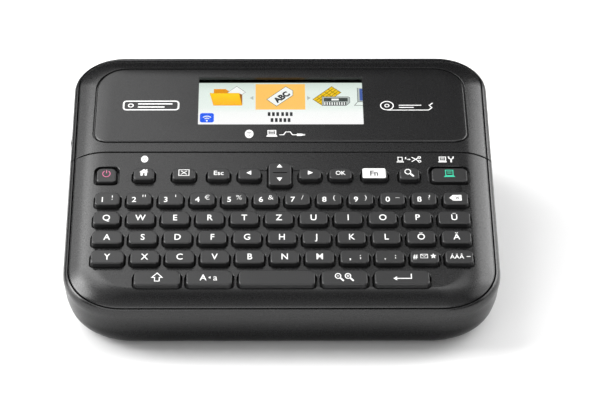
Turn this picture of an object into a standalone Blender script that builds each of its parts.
"""Desktop label maker with a full keyboard and a colour display.

Every size below is in millimetres and is turned into metres where a mesh is made.
World frame: +X right, -Y front, +Z up, origin on the ground under the middle of the case.
The key deck lies in a sloping frame (x, s, n): s runs up the slope from the front edge and
n stands at right angles to it, with n = 0 on the top face.
"""
import math

import bpy
from mathutils import Vector

MM = 0.001
GAP = 0.3

# ---- driving dimensions -------------------------------------------------------------------
CASE_DEPTH = 192.0
FRONT_Y = -CASE_DEPTH / 2
DECK_FRONT_Z = 29.2
DECK_SLOPE = math.radians(15.0)
FLOOR_Z = 1.6
FLOOR_TOP_Z = 3.8

DECK_WALL = 2.4
COVER_EDGE_N = -4.4
SEAM_S = 99.0
SEAM_GAP = 0.4

PANEL_HALF = 90.1
PANEL_S = (106.5, 161.0)
PANEL_TOP_R, PANEL_BOTTOM_R = 15.0, 7.0
PANEL_BOTTOM_N = -1.5
WINDOW_HALF = 40.2
WINDOW_S = (119.1, 154.0)
LENS_MARGIN = 2.0
LENS_N = (-3.1, -1.9)
LCD_MARGIN = 5.0
LCD_N = (-8.0, -3.4)

# keys: s of the holes' low and high edges, then x centre and width of each hole;
# a function key has its depth along s as well, and they all stand centred on FUNCTION_S
HOLE_CORNER = 2.4
KEY_CLEARANCE = 0.3
KEY_TOP_N = 2.6
KEY_BEVEL = 0.45
FLANGE_N = (-4.2, -3.0)
FLANGE_LIP = 0.6
PLUNGER_N = -9.4
PLUNGER_HALF = 2.0

NUMBER_S = (59.5, 68.9)
NUMBER_KEYS = [(-81.5 + 14.83 * i, 13.2) for i in range(12)]
UPPER_S = (46.5, 55.9)
UPPER_KEYS = [(-81.3, 14.0)] + [(-65.5 + 16.07 * i, 14.6) for i in range(9)] + [(80.2, 16.5)]
MIDDLE_S = (33.6, 43.0)
MIDDLE_KEYS = [(-80.5, 15.6)] + [(-64.0 + 16.03 * i, 14.6) for i in range(9)] + [(80.6, 15.2)]
LOWER_S = (20.7, 30.1)
LOWER_KEYS = [(-79.8, 16.8)] + [(-62.7 + 16.0 * i, 14.8) for i in range(9)] + [(81.1, 14.4)]
FRONT_S = (6.9, 17.0)
FRONT_KEYS = {"key_shift": (-56.6, 22.7), "key_case": (-33.0, 22.5), "key_space": (-2.3, 36.3),
              "key_zoom": (28.4, 22.5), "key_enter": (54.4, 26.6)}
FUNCTION_S = 81.3
FUNCTION_KEYS = {"key_home": (-65.0, 11.4, 8.9), "key_preview": (-46.0, 12.5, 8.4),
                 "key_escape": (-29.6, 12.0, 8.4), "key_left": (-15.0, 12.3, 8.4),
                 "key_right": (13.6, 12.0, 8.4), "key_ok": (28.0, 12.2, 8.4),
                 "key_function": (44.2, 13.7, 8.4), "key_search": (60.6, 11.1, 8.9)}
ROCKER = (-0.6, 12.5, 16.5)
ROCKER_PIVOT_N = -0.6
# sunk keys: x centre, well width, well depth along s, cap width, cap depth, cap top
POWER_KEY = (-82.8, 12.1, 13.2, 8.9, 9.0, 0.65)
PRINT_KEY = (79.7, 19.8, 13.0, 17.1, 9.5, 0.6)
SUNK_S = 82.3

# inside: board, cells, cassette bay, feed train
BOARD_N = (-12.6, -11.0)
SCREW_SITES = [(-80.0, -79.0), (80.0, -79.0), (-80.0, -4.2), (80.0, -4.2)]
SCREW_NAMES = ["screw_front_left", "screw_front_right", "screw_middle_left", "screw_middle_right"]
BOSS_TOP_Z = 17.6
BOSS_R, POST_R, SHANK_R = 4.0, 3.2, 1.4
HEAD_R, HEAD_Z = 2.8, (2.4, 4.5)
SHANK_TOP_Z = 26.0
FOOT_R, FOOT_TOP_Z = 6.0, 2.4
FOOT_X, FRONT_FOOT_Y, REAR_FOOT_Y = 74.0, -66.0, 76.0

HINGE_Y, HINGE_Z, HINGE_X = 16.3, 4.2, 60.0
HINGE_PIN_R, HINGE_EYE_R = 1.3, 2.3

CELL_R, CELL_LENGTH, CELL_PITCH = 7.0, 49.0, 14.5
CELL_FIRST_X, CELL_Y, CELL_Z = 7.5, 50.0, 12.4
CELL_COUNT = 6
BAY_Y = (21.6, 78.4)
CELL_BAY_X = (-0.4, 87.9)
CELL_BAY_ROOF_Z = 20.2
PLATE = 1.5
BAY_LIP_Z = 6.6

CASSETTE_X, CASSETTE_Y, CASSETTE_Z = (-85.5, -20.5), (30.0, 76.0), (9.0, 38.5)
BAY_CLEARANCE = 0.7
DECKPLATE_Z = (42.3, 44.0)
DECKPLATE_X, DECKPLATE_Y = (-89.3, -15.0), (7.0, 78.0)
TAPE_ROLL_AT, TAPE_ROLL_R, TAPE_HUB_R = (-42.0, 54.0), 18.0, 6.0
SPOOL_R = 8.0
SPOOL_Z = (11.5, 37.0)

GEAR_MODULE = 0.8
GEAR_Z = (44.7, 48.1)
IDLER_TEETH, PLATEN_TEETH, RIBBON_TEETH, PINION_TEETH = 30, 18, 16, 10
IDLER_AT = (-64.0, 24.6)
PLATEN_BEARING, RIBBON_BEARING, PINION_BEARING = -146.5, 109.0, -29.0
SHAFT_R, IDLER_POST_R, RIBBON_SHAFT_R, PINION_SHAFT_R = 2.0, 2.0, 2.5, 1.0
PLATEN_R, PLATEN_Z = 4.5, (13.0, 41.0)
MOTOR_R, MOTOR_Z = 9.4, (14.0, 41.9)

HEAD_X, HEAD_PLATE_Z = (-87.0, -74.0), (13.0, 41.0)
HEAT_SINK_X, HEAT_SINK_Z, HEAT_SINK_REAR_Y = (-84.0, -77.0), (15.0, 39.0), 27.3
FIXED_BLADE_X, MOVING_BLADE_X = (-92.4, -91.4), (-91.1, -90.1)
BLADE_Z, BLADE_REACH = (12.0, 41.5), 8.0

# openings in the side walls: tape exit on the left, power and data sockets on the right
BEZEL_X, BEZEL_Y, BEZEL_Z = (-101.8, -96.6), (15.6, 25.4), (13.0, 51.5)
TAPE_SLOT_Y, TAPE_SLOT_Z = (17.2, 20.8), (15.5, 44.5)
JACK_Y, JACK_Z, JACK_BORE_R, JACK_PORT_R = 36.0, 34.4, 3.3, 4.2
JACK_BODY_X, JACK_BODY_Z, JACK_WIDTH = (85.0, 97.0), (28.9, 39.9), 9.4
USB_Y, USB_Z, USB_PORT = 56.0, 31.0, (9.6, 5.0)
USB_BODY_X, USB_BODY_Z, USB_WIDTH = (87.0, 97.0), (28.9, 32.8), 7.8
USB_WALL = 0.5

# case forms, one row for each ring
# covers: half width, s at the front, s at the back, n, front corner, back corner
COVER_OUTSIDE = [(99.0, -0.7, 170.6, COVER_EDGE_N, 25.0, 19.0), (98.3, -0.2, 169.9, -2.9, 24.5, 18.5),
                 (95.4, 1.9, 167.0, -1.2, 22.5, 16.5), (91.0, 5.0, 163.5, -0.3, 19.0, 14.0),
                 (87.0, 8.0, 160.0, 0.0, 16.0, 11.0)]
COVER_INSIDE = [(96.6, 1.7, 168.2, COVER_EDGE_N - 1, 22.6, 16.6), (96.0, 2.2, 167.6, -3.9, 22.0, 16.0),
                (93.0, 4.6, 164.8, -DECK_WALL - 0.4, 20.0, 14.0), (87.0, 8.0, 160.0, -DECK_WALL, 15.0, 10.0)]
# tub: half width, front (y, z), back (y, z), front corner, back corner
TUB_OUTSIDE = [(90.5, (-83.5, FLOOR_Z), (88.5, FLOOR_Z), 20.0, 16.0),
               (95.0, (-88.4, 2.9), (93.2, 3.6), 24.0, 19.0),
               (98.2, (-92.4, 7.0), (95.7, 8.5), 26.5, 21.5),
               (100.0, (-95.2, 14.5), (96.0, 14.0), 27.0, 22.0),
               (100.6, (FRONT_Y, 20.0), (86.4, 42.0), 27.0, 22.0)]
RIM_OUTSIDE = [(100.8, -2.2, 173.2, -7.0, 26.5, 21.2), (100.4, -2.0, 172.8, -5.4, 26.4, 20.9),
               (99.8, -1.3, 172.0, COVER_EDGE_N - GAP, 25.8, 20.4)]
TUB_INSIDE = [(89.5, (-82.5, FLOOR_TOP_Z), (87.5, FLOOR_TOP_Z), 19.0, 15.0),
              (96.0, (-90.0, 8.2), (93.4, 9.5), 24.0, 19.0),
              (97.8, (-93.0, 15.5), (93.7, 15.0), 24.8, 19.8),
              (98.2, (-93.8, 20.0), (83.8, 41.0), 24.8, 19.8)]
RIM_INSIDE = [(98.2, 0.4, 170.3, -7.0, 24.2, 18.8), (97.6, 0.8, 169.7, COVER_EDGE_N + 1, 23.8, 18.2)]

SLOPE_COS, SLOPE_SIN = math.cos(DECK_SLOPE), math.sin(DECK_SLOPE)


# ---- outlines and lofted solids -----------------------------------------------------------
def deck_point(x, s, n):
    """A point of the sloping deck frame, in world millimetres."""
    y = FRONT_Y + s * SLOPE_COS - n * SLOPE_SIN
    z = DECK_FRONT_Z + s * SLOPE_SIN + n * SLOPE_COS
    return Vector((x, y, z))


def centred(middle, size):
    return (middle - size / 2, middle + size / 2)


def grown(value_range, margin):
    return (value_range[0] - margin, value_range[1] + margin)


def rounded_outline(x_range, y_range, low_radius, high_radius, points=2):
    """Counter-clockwise rectangle with `points` points on each rounded corner."""
    (x0, x1), (y0, y1) = x_range, y_range
    corners = [(x1 - low_radius, y0 + low_radius, low_radius, -90),
               (x1 - high_radius, y1 - high_radius, high_radius, 0),
               (x0 + high_radius, y1 - high_radius, high_radius, 90),
               (x0 + low_radius, y0 + low_radius, low_radius, 180)]
    outline = []
    for cx, cy, radius, start in corners:
        for i in range(points):
            angle = math.radians(start + 90 * i / (points - 1))
            outline.append((cx + radius * math.cos(angle), cy + radius * math.sin(angle)))
    return outline


def rectangle(x_range, y_range):
    (x0, x1), (y0, y1) = x_range, y_range
    return [(x1, y0), (x1, y1), (x0, y1), (x0, y0)]


def circle(centre, radius, points):
    angles = [2 * math.pi * i / points for i in range(points)]
    return [(centre[0] + radius * math.cos(a), centre[1] + radius * math.sin(a)) for a in angles]


def deck_ring(outline, n):
    return [deck_point(x, s, n) for x, s in outline]


def level_ring(outline, z):
    return [Vector((x, y, z)) for x, y in outline]


def case_ring(half_width, front, back, front_radius, back_radius, points=7):
    """A rounded ring in the plane through two (y, z) lines, one at the front, one at the back."""
    (y0, z0), (y1, z1) = front, back
    length = math.hypot(y1 - y0, z1 - z0)
    outline = rounded_outline((-half_width, half_width), (0, length), front_radius, back_radius, points)
    return [Vector((x, y0 + (y1 - y0) * t / length, z0 + (z1 - z0) * t / length)) for x, t in outline]


def lid_ring(half_width, s_range, n, front_radius, back_radius):
    """A case ring that lies in the deck frame at one height n."""
    front, back = deck_point(0, s_range[0], n), deck_point(0, s_range[1], n)
    return case_ring(half_width, (front.y, front.z), (back.y, back.z), front_radius, back_radius)


def loft(rings):
    """A closed solid through rings given from bottom to top."""
    count = len(rings[0])
    points = [p for ring in rings for p in ring]
    faces = [list(range(count))[::-1]]
    for r in range(len(rings) - 1):
        low, high = r * count, (r + 1) * count
        for i in range(count):
            j = (i + 1) % count
            faces += [[low + i, low + j, high + j], [low + i, high + j, high + i]]
    last = (len(rings) - 1) * count
    faces.append([last + i for i in range(count)])
    return points, faces


def combine(solids):
    """Several solids in one mesh."""
    points, faces = [], []
    for solid_points, solid_faces in solids:
        base = len(points)
        points += solid_points
        faces += [[base + i for i in face] for face in solid_faces]
    return points, faces


def block(x_range, y_range, z_range):
    outline = rectangle(x_range, y_range)
    return loft([level_ring(outline, z_range[0]), level_ring(outline, z_range[1])])


def deck_block(x_range, s_range, n_range):
    outline = rectangle(x_range, s_range)
    return loft([deck_ring(outline, n_range[0]), deck_ring(outline, n_range[1])])


def deck_prism(outline, n_range):
    return loft([deck_ring(outline, n_range[0]), deck_ring(outline, n_range[1])])


def upright(centre, profile, points=16):
    """A turned solid on a vertical axis; profile holds (radius, z) from bottom to top."""
    return loft([level_ring(circle(centre, radius, points), z) for radius, z in profile])


def pin(centre, radius, z_range, points=12):
    """A plain upright cylinder."""
    return upright(centre, [(radius, z_range[0]), (radius, z_range[1])], points)


def along_axis(axis, centre, profile, points=16):
    """A turned solid along world X or Y; profile holds (radius, place along the axis)."""
    rings = []
    for radius, place in profile:
        ring = []
        for a, b in circle((0, 0), radius, points):
            if axis == "x":
                ring.append(Vector((place, centre[0] + a, centre[1] + b)))
            else:
                ring.append(Vector((centre[0] + b, place, centre[1] + a)))
        rings.append(ring)
    return loft(rings)


# ---- objects, materials and cuts ----------------------------------------------------------
def make_material(name, colour, roughness, metallic=0.0):
    material = bpy.data.materials.new(name)
    material.use_nodes = True
    shader = material.node_tree.nodes["Principled BSDF"]
    shader.inputs["Base Color"].default_value = (*colour, 1.0)
    shader.inputs["Roughness"].default_value = roughness
    shader.inputs["Metallic"].default_value = metallic
    return material


def make_object(name, solid, material=None, origin=(0, 0, 0), smooth=False):
    """An object from a solid in millimetres, with its origin at a world point."""
    points, faces = solid
    origin = Vector(origin)
    mesh = bpy.data.meshes.new(name)
    mesh.from_pydata([(p - origin) * MM for p in points], [], faces)
    if material:
        mesh.materials.append(material)
    if smooth:
        mesh.shade_smooth()
        mesh.set_sharp_from_angle(angle=math.radians(40))
    item = bpy.data.objects.new(name, mesh)
    item.location = origin * MM
    bpy.context.collection.objects.link(item)
    return item


def boolean(target, name, operation, solid):
    """Cut a solid from the target, or join one to it, with a hidden guide object."""
    guide = make_object(target.name + "_" + name, solid)
    guide.hide_render = True
    guide.display_type = "WIRE"
    modifier = target.modifiers.new(name, "BOOLEAN")
    modifier.operation = operation
    modifier.solver = "EXACT"
    modifier.object = guide


def cut(target, name, *solids):
    boolean(target, name, "DIFFERENCE", combine(solids))


def join(target, name, *solids):
    boolean(target, name, "UNION", combine(solids))


# ---- the case -----------------------------------------------------------------------------
def cover_form(rows):
    return loft([lid_ring(half, (s0, s1), n, low, high) for half, s0, s1, n, low, high in rows])


def tub_form(low_rows, rim_rows):
    """A form from the ground up: level rings at first, then rings in the deck frame."""
    rings = [case_ring(*row) for row in low_rows]
    rings += [lid_ring(half, (s0, s1), n, low, high) for half, s0, s1, n, low, high in rim_rows]
    return loft(rings)


def behind_seam(margin):
    """Everything behind the seam plane, which is square to the deck."""
    return deck_block((-120, 120), (SEAM_S + margin, 260), (-120, 40))


def before_seam(margin):
    return deck_block((-120, 120), (-60, SEAM_S - margin), (-120, 40))


def hole_outline(x, width, s_range):
    return rounded_outline((x - width / 2, x + width / 2), s_range, HOLE_CORNER, HOLE_CORNER)


def bank_rows():
    return {"key_row_numbers": (NUMBER_S, NUMBER_KEYS), "key_row_upper": (UPPER_S, UPPER_KEYS),
            "key_row_middle": (MIDDLE_S, MIDDLE_KEYS), "key_row_lower": (LOWER_S, LOWER_KEYS)}


def key_holes():
    """Outline of each opening in the keyboard cover."""
    outlines = [hole_outline(x, width, s_range)
                for s_range, keys in bank_rows().values() for x, width in keys]
    outlines += [hole_outline(x, width, FRONT_S) for x, width in FRONT_KEYS.values()]
    outlines += [hole_outline(x, width, centred(FUNCTION_S, depth))
                 for x, width, depth in FUNCTION_KEYS.values()]
    outlines.append(hole_outline(ROCKER[0], ROCKER[1], centred(FUNCTION_S, ROCKER[2])))
    for x, width, depth, *_ in (POWER_KEY, PRINT_KEY):
        outlines.append(hole_outline(x, width, centred(SUNK_S, depth)))
    return outlines


def make_keyboard_cover(material):
    cover = make_object("keyboard_cover", cover_form(COVER_OUTSIDE), material)
    cut(cover, "hollow", cover_form(COVER_INSIDE))
    cut(cover, "seam", behind_seam(-SEAM_GAP / 2))
    join(cover, "posts", *[pin(site, POST_R, (BOSS_TOP_Z + GAP, post_top(site))) for site in SCREW_SITES])
    cut(cover, "pilots", *[pin(site, SHANK_R + GAP, (BOSS_TOP_Z - 1, SHANK_TOP_Z + 1), 10)
                           for site in SCREW_SITES])
    cut(cover, "keys", *[deck_prism(outline, (-8, 6)) for outline in key_holes()])


def post_top(site):
    """Height at which a post is buried in the wall of the sloping cover above its site."""
    return DECK_FRONT_Z + (site[1] - FRONT_Y) * math.tan(DECK_SLOPE) - 1.4


def panel_outline(margin=0.0):
    return rounded_outline((-PANEL_HALF - margin, PANEL_HALF + margin),
                           (PANEL_S[0] - margin, PANEL_S[1] + margin),
                           PANEL_BOTTOM_R + margin, PANEL_TOP_R + margin, 6)


def window_block(margin, n_range):
    return deck_block((-WINDOW_HALF - margin, WINDOW_HALF + margin),
                      (WINDOW_S[0] - margin, WINDOW_S[1] + margin), n_range)


def make_display(case_material, panel_material, lens_material, lcd_material):
    cover = make_object("display_cover", cover_form(COVER_OUTSIDE), case_material)
    cut(cover, "hollow", cover_form(COVER_INSIDE))
    cut(cover, "seam", before_seam(-SEAM_GAP / 2))
    cut(cover, "recess", deck_prism(panel_outline(0.5), (PANEL_BOTTOM_N - GAP, 6)))
    cut(cover, "window", window_block(LENS_MARGIN + GAP, (-8, 6)))

    low, middle, high = panel_outline(), panel_outline(-0.3), panel_outline(-4.5)
    panel = make_object("display_panel",
                        loft([deck_ring(low, PANEL_BOTTOM_N), deck_ring(low, -0.75),
                              deck_ring(middle, -0.45), deck_ring(high, 0.0)]), panel_material)
    cut(panel, "window", window_block(0, (-8, 6)))
    make_object("display_lens", window_block(LENS_MARGIN, LENS_N), lens_material)
    make_object("lcd_module", window_block(LCD_MARGIN, LCD_N), lcd_material)


def make_lower_case(material):
    case = make_object("lower_case", tub_form(TUB_OUTSIDE, RIM_OUTSIDE), material)
    cut(case, "hollow", tub_form(TUB_INSIDE, RIM_INSIDE))
    join(case, "bosses", *[pin(site, BOSS_R, (FLOOR_Z + 0.4, BOSS_TOP_Z)) for site in SCREW_SITES])
    cut(case, "seam", behind_seam(-SEAM_GAP / 2))
    arm_y, arm_z = (HINGE_Y - 12, HINGE_Y + 1), (FLOOR_Z + 0.7, HINGE_Z + 1)
    join(case, "hinge_arms", *[block(centred(x, 8.0), arm_y, arm_z) for x in (-HINGE_X, HINGE_X)])
    join(case, "hinge_pins", *[hinge_rod(x, HINGE_PIN_R, 7.5) for x in (-HINGE_X, HINGE_X)])
    join(case, "floor_lip", *[block(x_range, (HINGE_Y - 6, HINGE_Y + 1.3), (FLOOR_Z + 0.3, FLOOR_Z + 1.1))
                              for x_range in ((-88, -69), (-51, 51), (69, 88))])
    cut(case, "screw_wells", *[pin(site, SHANK_R + GAP, (FLOOR_Z - 1, BOSS_TOP_Z + 1), 10)
                               for site in SCREW_SITES])
    cut(case, "head_wells", *[pin(site, HEAD_R + GAP, (FLOOR_Z - 1, HEAD_Z[1] + GAP))
                              for site in SCREW_SITES])
    cut(case, "foot_pockets", *[foot_pocket(x, FRONT_FOOT_Y) for x in (-FOOT_X, FOOT_X)])


def hinge_rod(x, radius, half_length):
    """A cylinder on the hinge line of the rear cover."""
    return along_axis("x", (HINGE_Y, HINGE_Z), [(radius, x - half_length), (radius, x + half_length)], 12)


def foot_pocket(x, y):
    return pin((x, y), FOOT_R + GAP, (FLOOR_Z - 1, FOOT_TOP_Z + GAP), 16)


def make_rear_cover(material):
    """The tub behind the seam: it swings down on two pins at its front bottom edge."""
    tub = make_object("rear_cover", tub_form(TUB_OUTSIDE, RIM_OUTSIDE), material, (0, HINGE_Y, HINGE_Z))
    cut(tub, "hollow", tub_form(TUB_INSIDE, RIM_INSIDE))
    cut(tub, "seam", before_seam(-SEAM_GAP / 2))
    cut(tub, "front_edge", block((-120, 120), (0, HINGE_Y + 2.8), (-5, HINGE_Z + 0.2)))
    join(tub, "hinge_eyes", *hinge_eyes(-HINGE_X), *hinge_eyes(HINGE_X))
    cut(tub, "hinge_bores", *[hinge_rod(x, HINGE_PIN_R + GAP, 9) for x in (-HINGE_X, HINGE_X)])
    cut(tub, "foot_pockets", *[foot_pocket(x, REAR_FOOT_Y) for x in (-FOOT_X, FOOT_X)])
    cut(tub, "tape_exit", block((-110, -90), grown(BEZEL_Y, GAP), grown(BEZEL_Z, GAP)))
    cut(tub, "power_port", along_axis("x", (JACK_Y, JACK_Z), [(JACK_PORT_R, 90), (JACK_PORT_R, 110)]))
    cut(tub, "data_port", block((90, 110), centred(USB_Y, USB_PORT[0]), centred(USB_Z, USB_PORT[1])))


def hinge_eyes(x):
    """Two lugs of the rear cover, one on each side of a hinge arm, round the pin's ends."""
    eyes = []
    reach, flat = HINGE_EYE_R, 0.9
    profile = [(-flat, -reach), (5.2, -reach), (5.2, 0.1), (2.3, reach), (-flat, reach),
               (-reach, flat), (-reach, -flat)]
    for offset in (-6.0, 6.0):
        rings = [[Vector((x + offset + half, HINGE_Y + y, HINGE_Z + z)) for y, z in profile]
                 for half in (-1.3, 1.3)]
        eyes.append(loft(rings))
    return eyes


# ---- keys ---------------------------------------------------------------------------------
def key_cap(x_range, s_range, top, bottom):
    """Rings of a cap with a bevelled upper edge, from its foot to its face."""
    corner = HOLE_CORNER - KEY_CLEARANCE
    body = rounded_outline(x_range, s_range, corner, corner)
    face = rounded_outline((x_range[0] + KEY_BEVEL, x_range[1] - KEY_BEVEL),
                           (s_range[0] + KEY_BEVEL, s_range[1] - KEY_BEVEL), corner, corner)
    return [deck_ring(body, bottom), deck_ring(body, top - KEY_BEVEL), deck_ring(face, top)]


def single_key(name, material, x_range, s_range, top=KEY_TOP_N, lip=FLANGE_LIP, drop=0.0, pivot_n=0.0):
    """A separate key: cap, flange under the cover and plunger, in one lofted solid."""
    low, high = FLANGE_N[0] - drop, FLANGE_N[1] - drop
    x, s = sum(x_range) / 2, sum(s_range) / 2
    flange = rounded_outline(grown(x_range, lip), grown(s_range, lip), HOLE_CORNER, HOLE_CORNER)
    plunger = rounded_outline(centred(x, 2 * PLUNGER_HALF), centred(s, 2 * PLUNGER_HALF), 0.8, 0.8)
    rings = [deck_ring(plunger, PLUNGER_N), deck_ring(plunger, low), deck_ring(flange, low),
             deck_ring(flange, high)] + key_cap(x_range, s_range, top, high)
    make_object(name, loft(rings), material, deck_point(x, s, pivot_n))


def make_keys(material):
    fit = -KEY_CLEARANCE
    for name, (x, width) in FRONT_KEYS.items():
        single_key(name, material, grown(centred(x, width), fit), grown(FRONT_S, fit))
    for name, (x, width, depth) in FUNCTION_KEYS.items():
        s_range = centred(FUNCTION_S, depth)
        single_key(name, material, grown(centred(x, width), fit), grown(s_range, fit), lip=0.75)
    x, width, depth = ROCKER
    s_range = centred(FUNCTION_S, depth)
    single_key("key_up_down", material, grown(centred(x, width), fit), grown(s_range, fit),
               lip=0.75, drop=0.7, pivot_n=ROCKER_PIVOT_N)
    for name, (x, well, _, width, depth, top) in (("key_power", POWER_KEY), ("key_print", PRINT_KEY)):
        lip = (well - width) / 2 + 0.5
        single_key(name, material, centred(x, width), centred(SUNK_S, depth), top, lip)
    for name, (s_range, keys) in bank_rows().items():
        make_key_row(name, material, s_range, keys)


def make_key_row(name, material, s_range, keys):
    """A row of caps on one carrier strip under the cover, with a rib towards the board."""
    fit = -KEY_CLEARANCE
    left, right = keys[0][0] - keys[0][1] / 2, keys[-1][0] + keys[-1][1] / 2
    middle = sum(s_range) / 2
    carrier = deck_block(grown((left, right), FLANGE_LIP), grown(s_range, FLANGE_LIP), FLANGE_N)
    row = make_object(name, carrier, material, deck_point(0, middle, 0))
    caps = [loft(key_cap(grown(centred(x, width), fit), grown(s_range, fit), KEY_TOP_N, FLANGE_N[1] - 0.5))
            for x, width in keys]
    join(row, "caps", *caps)
    join(row, "rib", deck_block((left + 6, right - 6), centred(middle, 2.4), (PLUNGER_N, FLANGE_N[0] + 0.5)))


# ---- boards, screws and feet --------------------------------------------------------------
def make_boards(material):
    outline = rounded_outline((-86, 86), (6.0, 86.5), 6, 3, 3)
    board = make_object("keypad_board", deck_prism(outline, BOARD_N), material)
    cut(board, "screw_clearance", *[pin(site, BOSS_R + 1.2, (10, 60)) for site in SCREW_SITES[:2]])
    make_object("main_board", block((2, 88), (14, 78), (27.0, 28.6)), material)


def make_screws(material):
    for name, site in zip(SCREW_NAMES, SCREW_SITES):
        profile = [(HEAD_R, HEAD_Z[0]), (HEAD_R, HEAD_Z[1]), (SHANK_R, HEAD_Z[1]),
                   (SHANK_R, SHANK_TOP_Z - 1), (SHANK_R * 0.5, SHANK_TOP_Z)]
        screw = make_object(name, upright(site, profile, 12), material, (*site, HEAD_Z[0]), True)
        narrow, wide = 0.8, 3.6
        low = HEAD_Z[0] - 1
        for arm, x_size, y_size, top in (("a", narrow, wide, low + 2), ("b", wide, narrow, low + 1.9)):
            cut(screw, "recess_" + arm, block(centred(site[0], x_size), centred(site[1], y_size), (low, top)))


def make_feet(material):
    places = {"foot_front_left": (-FOOT_X, FRONT_FOOT_Y), "foot_front_right": (FOOT_X, FRONT_FOOT_Y),
              "foot_rear_left": (-FOOT_X, REAR_FOOT_Y), "foot_rear_right": (FOOT_X, REAR_FOOT_Y)}
    for name, place in places.items():
        profile = [(FOOT_R - 0.5, 0.0), (FOOT_R, 0.5), (FOOT_R, FOOT_TOP_Z)]
        make_object(name, upright(place, profile, 16), material, (*place, 0), True)


# ---- chassis, cells and cassette ----------------------------------------------------------


def bearing_point(bearing, teeth):
    """Axle place of a gear that meshes with the idler along the given bearing in degrees."""
    reach = GEAR_MODULE * (IDLER_TEETH + teeth) / 2 + 0.05
    angle = math.radians(bearing)
    return (IDLER_AT[0] + reach * math.cos(angle), IDLER_AT[1] + reach * math.sin(angle))


PLATEN_AT = bearing_point(PLATEN_BEARING, PLATEN_TEETH)
RIBBON_AT = bearing_point(RIBBON_BEARING, RIBBON_TEETH)
PINION_AT = bearing_point(PINION_BEARING, PINION_TEETH)
TAPE_PATH_Y = PLATEN_AT[1] + PLATEN_R + 0.2


def walls(x_range, y_range, z_range, thickness):
    """Four upright walls that enclose a rectangle, as one closed ring."""
    outer_x, outer_y = grown(x_range, thickness), grown(y_range, thickness)
    inner = rectangle(x_range, y_range)
    outer = rectangle(outer_x, outer_y)
    low_outer, low_inner = level_ring(outer, z_range[0]), level_ring(inner, z_range[0])
    high_outer, high_inner = level_ring(outer, z_range[1]), level_ring(inner, z_range[1])
    points = low_outer + high_outer + low_inner + high_inner
    faces = []
    for i in range(4):
        j = (i + 1) % 4
        faces += [[i, j, 4 + j, 4 + i], [8 + j, 8 + i, 12 + i, 12 + j],
                  [j, i, 8 + i, 8 + j], [4 + i, 4 + j, 12 + j, 12 + i]]
    return points, faces


def make_chassis(material):
    """One moulding: deck plate over the cassette, cell bay beside it and the feed brackets."""
    chassis = make_object("chassis", block(DECKPLATE_X, DECKPLATE_Y, DECKPLATE_Z), material)
    bay_x, bay_y = grown(CASSETTE_X, BAY_CLEARANCE), grown(CASSETTE_Y, BAY_CLEARANCE)
    join(chassis, "cassette_bay", walls(bay_x, bay_y, (BAY_LIP_Z, DECKPLATE_Z[0] + 0.5), PLATE))
    roof_z = (CELL_BAY_ROOF_Z, CELL_BAY_ROOF_Z + PLATE)
    roof = block(grown(CELL_BAY_X, PLATE - 0.1), grown(BAY_Y, PLATE - 0.1), roof_z)
    join(chassis, "cell_roof", roof)
    join(chassis, "cell_bay", walls(CELL_BAY_X, BAY_Y, (BAY_LIP_Z, CELL_BAY_ROOF_Z + 0.5), PLATE))
    join(chassis, "bridge", block((bay_x[1] + 0.5, CELL_BAY_X[0] - 0.5), (34, 70),
                                  (CELL_BAY_ROOF_Z - 6, CELL_BAY_ROOF_Z + PLATE - 0.4)))
    join(chassis, "platen_bracket", block((-88, -72), (PLATEN_AT[1] - 5, bay_y[0] - 0.6), (9.0, 11.4)))
    shoulder_z = GEAR_Z[0] - GAP
    post = [(4.0, DECKPLATE_Z[1] - 0.5), (4.0, shoulder_z), (IDLER_POST_R, shoulder_z),
            (IDLER_POST_R, GEAR_Z[1] + 1)]
    join(chassis, "idler_post", upright(IDLER_AT, post, 12))
    through = (0, 60)
    cut(chassis, "shaft_holes", pin(PLATEN_AT, SHAFT_R + GAP, through),
        pin(RIBBON_AT, RIBBON_SHAFT_R + GAP, through), pin(PINION_AT, PINION_SHAFT_R + GAP, through, 10))


def make_cells(sleeve_material, contact_material):
    half = CELL_LENGTH / 2
    for i in range(CELL_COUNT):
        way = 1 if i % 2 else -1
        x = CELL_FIRST_X + CELL_PITCH * i
        profile = [(CELL_R - 1.0, -half), (CELL_R, -half + 0.6), (CELL_R, half - 0.8), (CELL_R - 1.0, half),
                   (2.7, half), (2.7, half + 1.3)]
        if way < 0:
            profile = [(radius, -place) for radius, place in reversed(profile)]
        turned = along_axis("y", (x, CELL_Z), [(radius, CELL_Y + place) for radius, place in profile], 14)
        make_object(f"cell_{i + 1}", turned, sleeve_material, (x, CELL_Y, CELL_Z), True)
    for name, y in (("cell_contacts_front", BAY_Y[0] + GAP), ("cell_contacts_rear", BAY_Y[1] - GAP - 0.8)):
        make_object(name, block(grown(CELL_BAY_X, -1), (y, y + 0.8), (6.5, 18.5)), contact_material)


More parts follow.
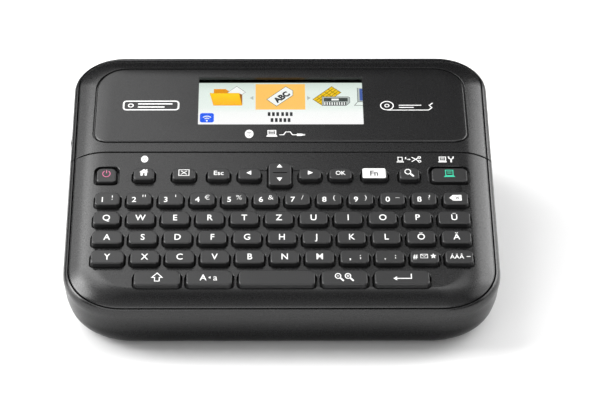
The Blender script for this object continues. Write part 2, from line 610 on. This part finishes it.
def make_cassette(shell_material, tape_material, ribbon_material):
    (x0, x1), (y0, y1), (z0, z1) = CASSETTE_X, CASSETTE_Y, CASSETTE_Z
    wall = 1.6
    outline = rounded_outline((x0, x1), (y0, y1), 4, 4, 4)
    inner = rounded_outline((x0 + wall, x1 - wall), (y0 + wall, y1 - wall), 2.5, 2.5, 4)
    shell = make_object("cassette_shell", loft([level_ring(outline, z0), level_ring(outline, z1)]),
                        shell_material)
    cut(shell, "hollow", loft([level_ring(inner, z0 + wall), level_ring(inner, z1 + 2)]))
    join(shell, "hub", pin(TAPE_ROLL_AT, TAPE_HUB_R, (z0 + 1, SPOOL_Z[1] - 1), 16))
    cut(shell, "inspection_window", block((-36, -26), (38, 68), (z0 - 1, z0 + 3)))

    for name, centre, outer, bore, material in (
            ("tape_roll", TAPE_ROLL_AT, TAPE_ROLL_R, TAPE_HUB_R + GAP, tape_material),
            ("ribbon_spool", RIBBON_AT, SPOOL_R, RIBBON_SHAFT_R + GAP, ribbon_material)):
        roll = make_object(name, pin(centre, outer, SPOOL_Z, 24), material, (*centre, SPOOL_Z[0]), True)
        cut(roll, "bore", pin(centre, bore, grown(SPOOL_Z, 1), 16))


# ---- feed train, print head and cutter ----------------------------------------------------
def gear_outline(centre, teeth, tooth_angle):
    """Straight-flanked teeth with running backlash; one tooth points at tooth_angle."""
    pitch = 2 * math.pi / teeth
    radius = GEAR_MODULE * teeth / 2
    root, tip = radius - 1.2 * GEAR_MODULE, radius + 0.85 * GEAR_MODULE
    outline = []
    for i in range(teeth):
        middle = tooth_angle + i * pitch
        for reach, share in ((root, -0.30), (tip, -0.11), (tip, 0.11), (root, 0.30)):
            angle = middle + share * pitch
            outline.append((centre[0] + reach * math.cos(angle), centre[1] + reach * math.sin(angle)))
    return outline


def mate_angle(bearing, teeth):
    """Tooth angle of a gear whose gap meets the idler's tooth nearest the line of centres."""
    line = math.radians(bearing)
    pitch = 2 * math.pi / IDLER_TEETH
    offset = round(line / pitch) * pitch - line
    return line + math.pi - offset * IDLER_TEETH / teeth + math.pi / teeth


def make_gear(name, centre, teeth, tooth_angle, material):
    outline = gear_outline(centre, teeth, tooth_angle)
    solid = loft([level_ring(outline, GEAR_Z[0]), level_ring(outline, GEAR_Z[1])])
    return make_object(name, solid, material, (*centre, GEAR_Z[0]))


def make_feed_train(gear_material, roller_material, motor_material):
    idler = make_gear("idler_gear", IDLER_AT, IDLER_TEETH, 0.0, gear_material)
    cut(idler, "bore", pin(IDLER_AT, IDLER_POST_R + GAP, grown(GEAR_Z, 1)))

    platen = make_gear("platen_roller", PLATEN_AT, PLATEN_TEETH, mate_angle(PLATEN_BEARING, PLATEN_TEETH),
                       roller_material)
    roller = [(SHAFT_R, 9.4), (SHAFT_R, PLATEN_Z[0]), (PLATEN_R, PLATEN_Z[0]), (PLATEN_R, PLATEN_Z[1]),
              (SHAFT_R, PLATEN_Z[1]), (SHAFT_R, GEAR_Z[1] + 1)]
    join(platen, "roller", upright(PLATEN_AT, roller, 16))

    spindle = make_gear("ribbon_spindle", RIBBON_AT, RIBBON_TEETH, mate_angle(RIBBON_BEARING, RIBBON_TEETH),
                        gear_material)
    join(spindle, "shaft", pin(RIBBON_AT, RIBBON_SHAFT_R, (14.0, GEAR_Z[1] + 1)))

    pinion = make_gear("motor_pinion", PINION_AT, PINION_TEETH, mate_angle(PINION_BEARING, PINION_TEETH),
                       gear_material)
    join(pinion, "shaft", pin(PINION_AT, PINION_SHAFT_R, (MOTOR_Z[1] - 2.5, GEAR_Z[1] + 1), 10))

    low, high = MOTOR_Z
    can = [(MOTOR_R - 1, low), (MOTOR_R, low + 1), (MOTOR_R, high - 1), (MOTOR_R - 1, high)]
    motor = make_object("feed_motor", upright(PINION_AT, can, 24), motor_material, (*PINION_AT, low), True)
    cut(motor, "bearing", pin(PINION_AT, PINION_SHAFT_R + GAP, (high - 3, high + 8), 10))


def make_head_and_cutter(head_material, blade_material):
    front_y = TAPE_PATH_Y + 0.3
    head = make_object("print_head", block(HEAD_X, (front_y, front_y + 1.5), HEAD_PLATE_Z), head_material)
    join(head, "heat_sink", block(HEAT_SINK_X, (front_y + 1.2, HEAT_SINK_REAR_Y), HEAT_SINK_Z))
    make_object("cutter_fixed_blade", block(FIXED_BLADE_X, (front_y, front_y + 5.5), BLADE_Z), blade_material)

    low, high = BLADE_Z
    edge_y = TAPE_PATH_Y - 0.9
    back_y = edge_y - BLADE_REACH
    outline = [(back_y, low), (edge_y - 1.2, low), (edge_y, low + 2), (edge_y - 1.0, high), (back_y, high)]
    blade = loft([[Vector((x, y, z)) for y, z in outline] for x in MOVING_BLADE_X])
    make_object("cutter_moving_blade", blade, blade_material, (sum(MOVING_BLADE_X) / 2, edge_y, 26))


def make_ports(bezel_material, socket_material, metal_material):
    bezel = make_object("tape_exit_bezel", block(BEZEL_X, BEZEL_Y, BEZEL_Z), bezel_material)
    cut(bezel, "slot", block((-105, -90), TAPE_SLOT_Y, TAPE_SLOT_Z))
    jack = make_object("power_socket", block(JACK_BODY_X, centred(JACK_Y, JACK_WIDTH), JACK_BODY_Z),
                       socket_material)
    cut(jack, "bore", along_axis("x", (JACK_Y, JACK_Z), [(JACK_BORE_R, 87.5), (JACK_BORE_R, 100)]))
    usb = make_object("usb_socket", block(USB_BODY_X, centred(USB_Y, USB_WIDTH), USB_BODY_Z), metal_material)
    mouth_z = (USB_BODY_Z[0] + 0.6, USB_BODY_Z[1] - 0.6)
    cut(usb, "mouth", block((89, 100), centred(USB_Y, USB_WIDTH - 2 * USB_WALL), mouth_z))


def main():
    for item in list(bpy.data.objects):
        bpy.data.objects.remove(item, do_unlink=True)
    charcoal = make_material("case_plastic", (0.045, 0.046, 0.05), 0.55)
    panel = make_material("panel_plastic", (0.03, 0.031, 0.034), 0.4)
    keys = make_material("key_rubber", (0.04, 0.041, 0.045), 0.6)
    lens = make_material("lens_clear", (0.7, 0.75, 0.75), 0.08)
    lcd = make_material("lcd_screen", (0.6, 0.72, 0.68), 0.3)
    board = make_material("board_green", (0.03, 0.16, 0.07), 0.45)
    steel = make_material("steel", (0.6, 0.6, 0.6), 0.3, 1.0)
    rubber = make_material("foot_rubber", (0.02, 0.02, 0.02), 0.85)
    inner = make_material("inner_plastic", (0.08, 0.08, 0.085), 0.6)
    gear = make_material("gear_acetal", (0.75, 0.74, 0.7), 0.4)
    sleeve = make_material("cell_sleeve", (0.05, 0.07, 0.12), 0.35)
    cassette = make_material("cassette_plastic", (0.35, 0.35, 0.36), 0.5)
    tape = make_material("tape_white", (0.8, 0.8, 0.78), 0.5)
    ribbon = make_material("ribbon_black", (0.015, 0.015, 0.015), 0.3)
    socket = make_material("socket_black", (0.015, 0.015, 0.015), 0.5)
    ceramic = make_material("head_ceramic", (0.5, 0.45, 0.4), 0.4)

    make_keyboard_cover(charcoal)
    make_display(charcoal, panel, lens, lcd)
    make_lower_case(charcoal)
    make_rear_cover(charcoal)
    make_keys(keys)
    make_boards(board)
    make_screws(steel)
    make_feet(rubber)
    make_chassis(inner)
    make_cells(sleeve, steel)
    make_cassette(cassette, tape, ribbon)
    make_feed_train(gear, rubber, steel)
    make_head_and_cutter(ceramic, steel)
    make_ports(charcoal, socket, steel)


main()
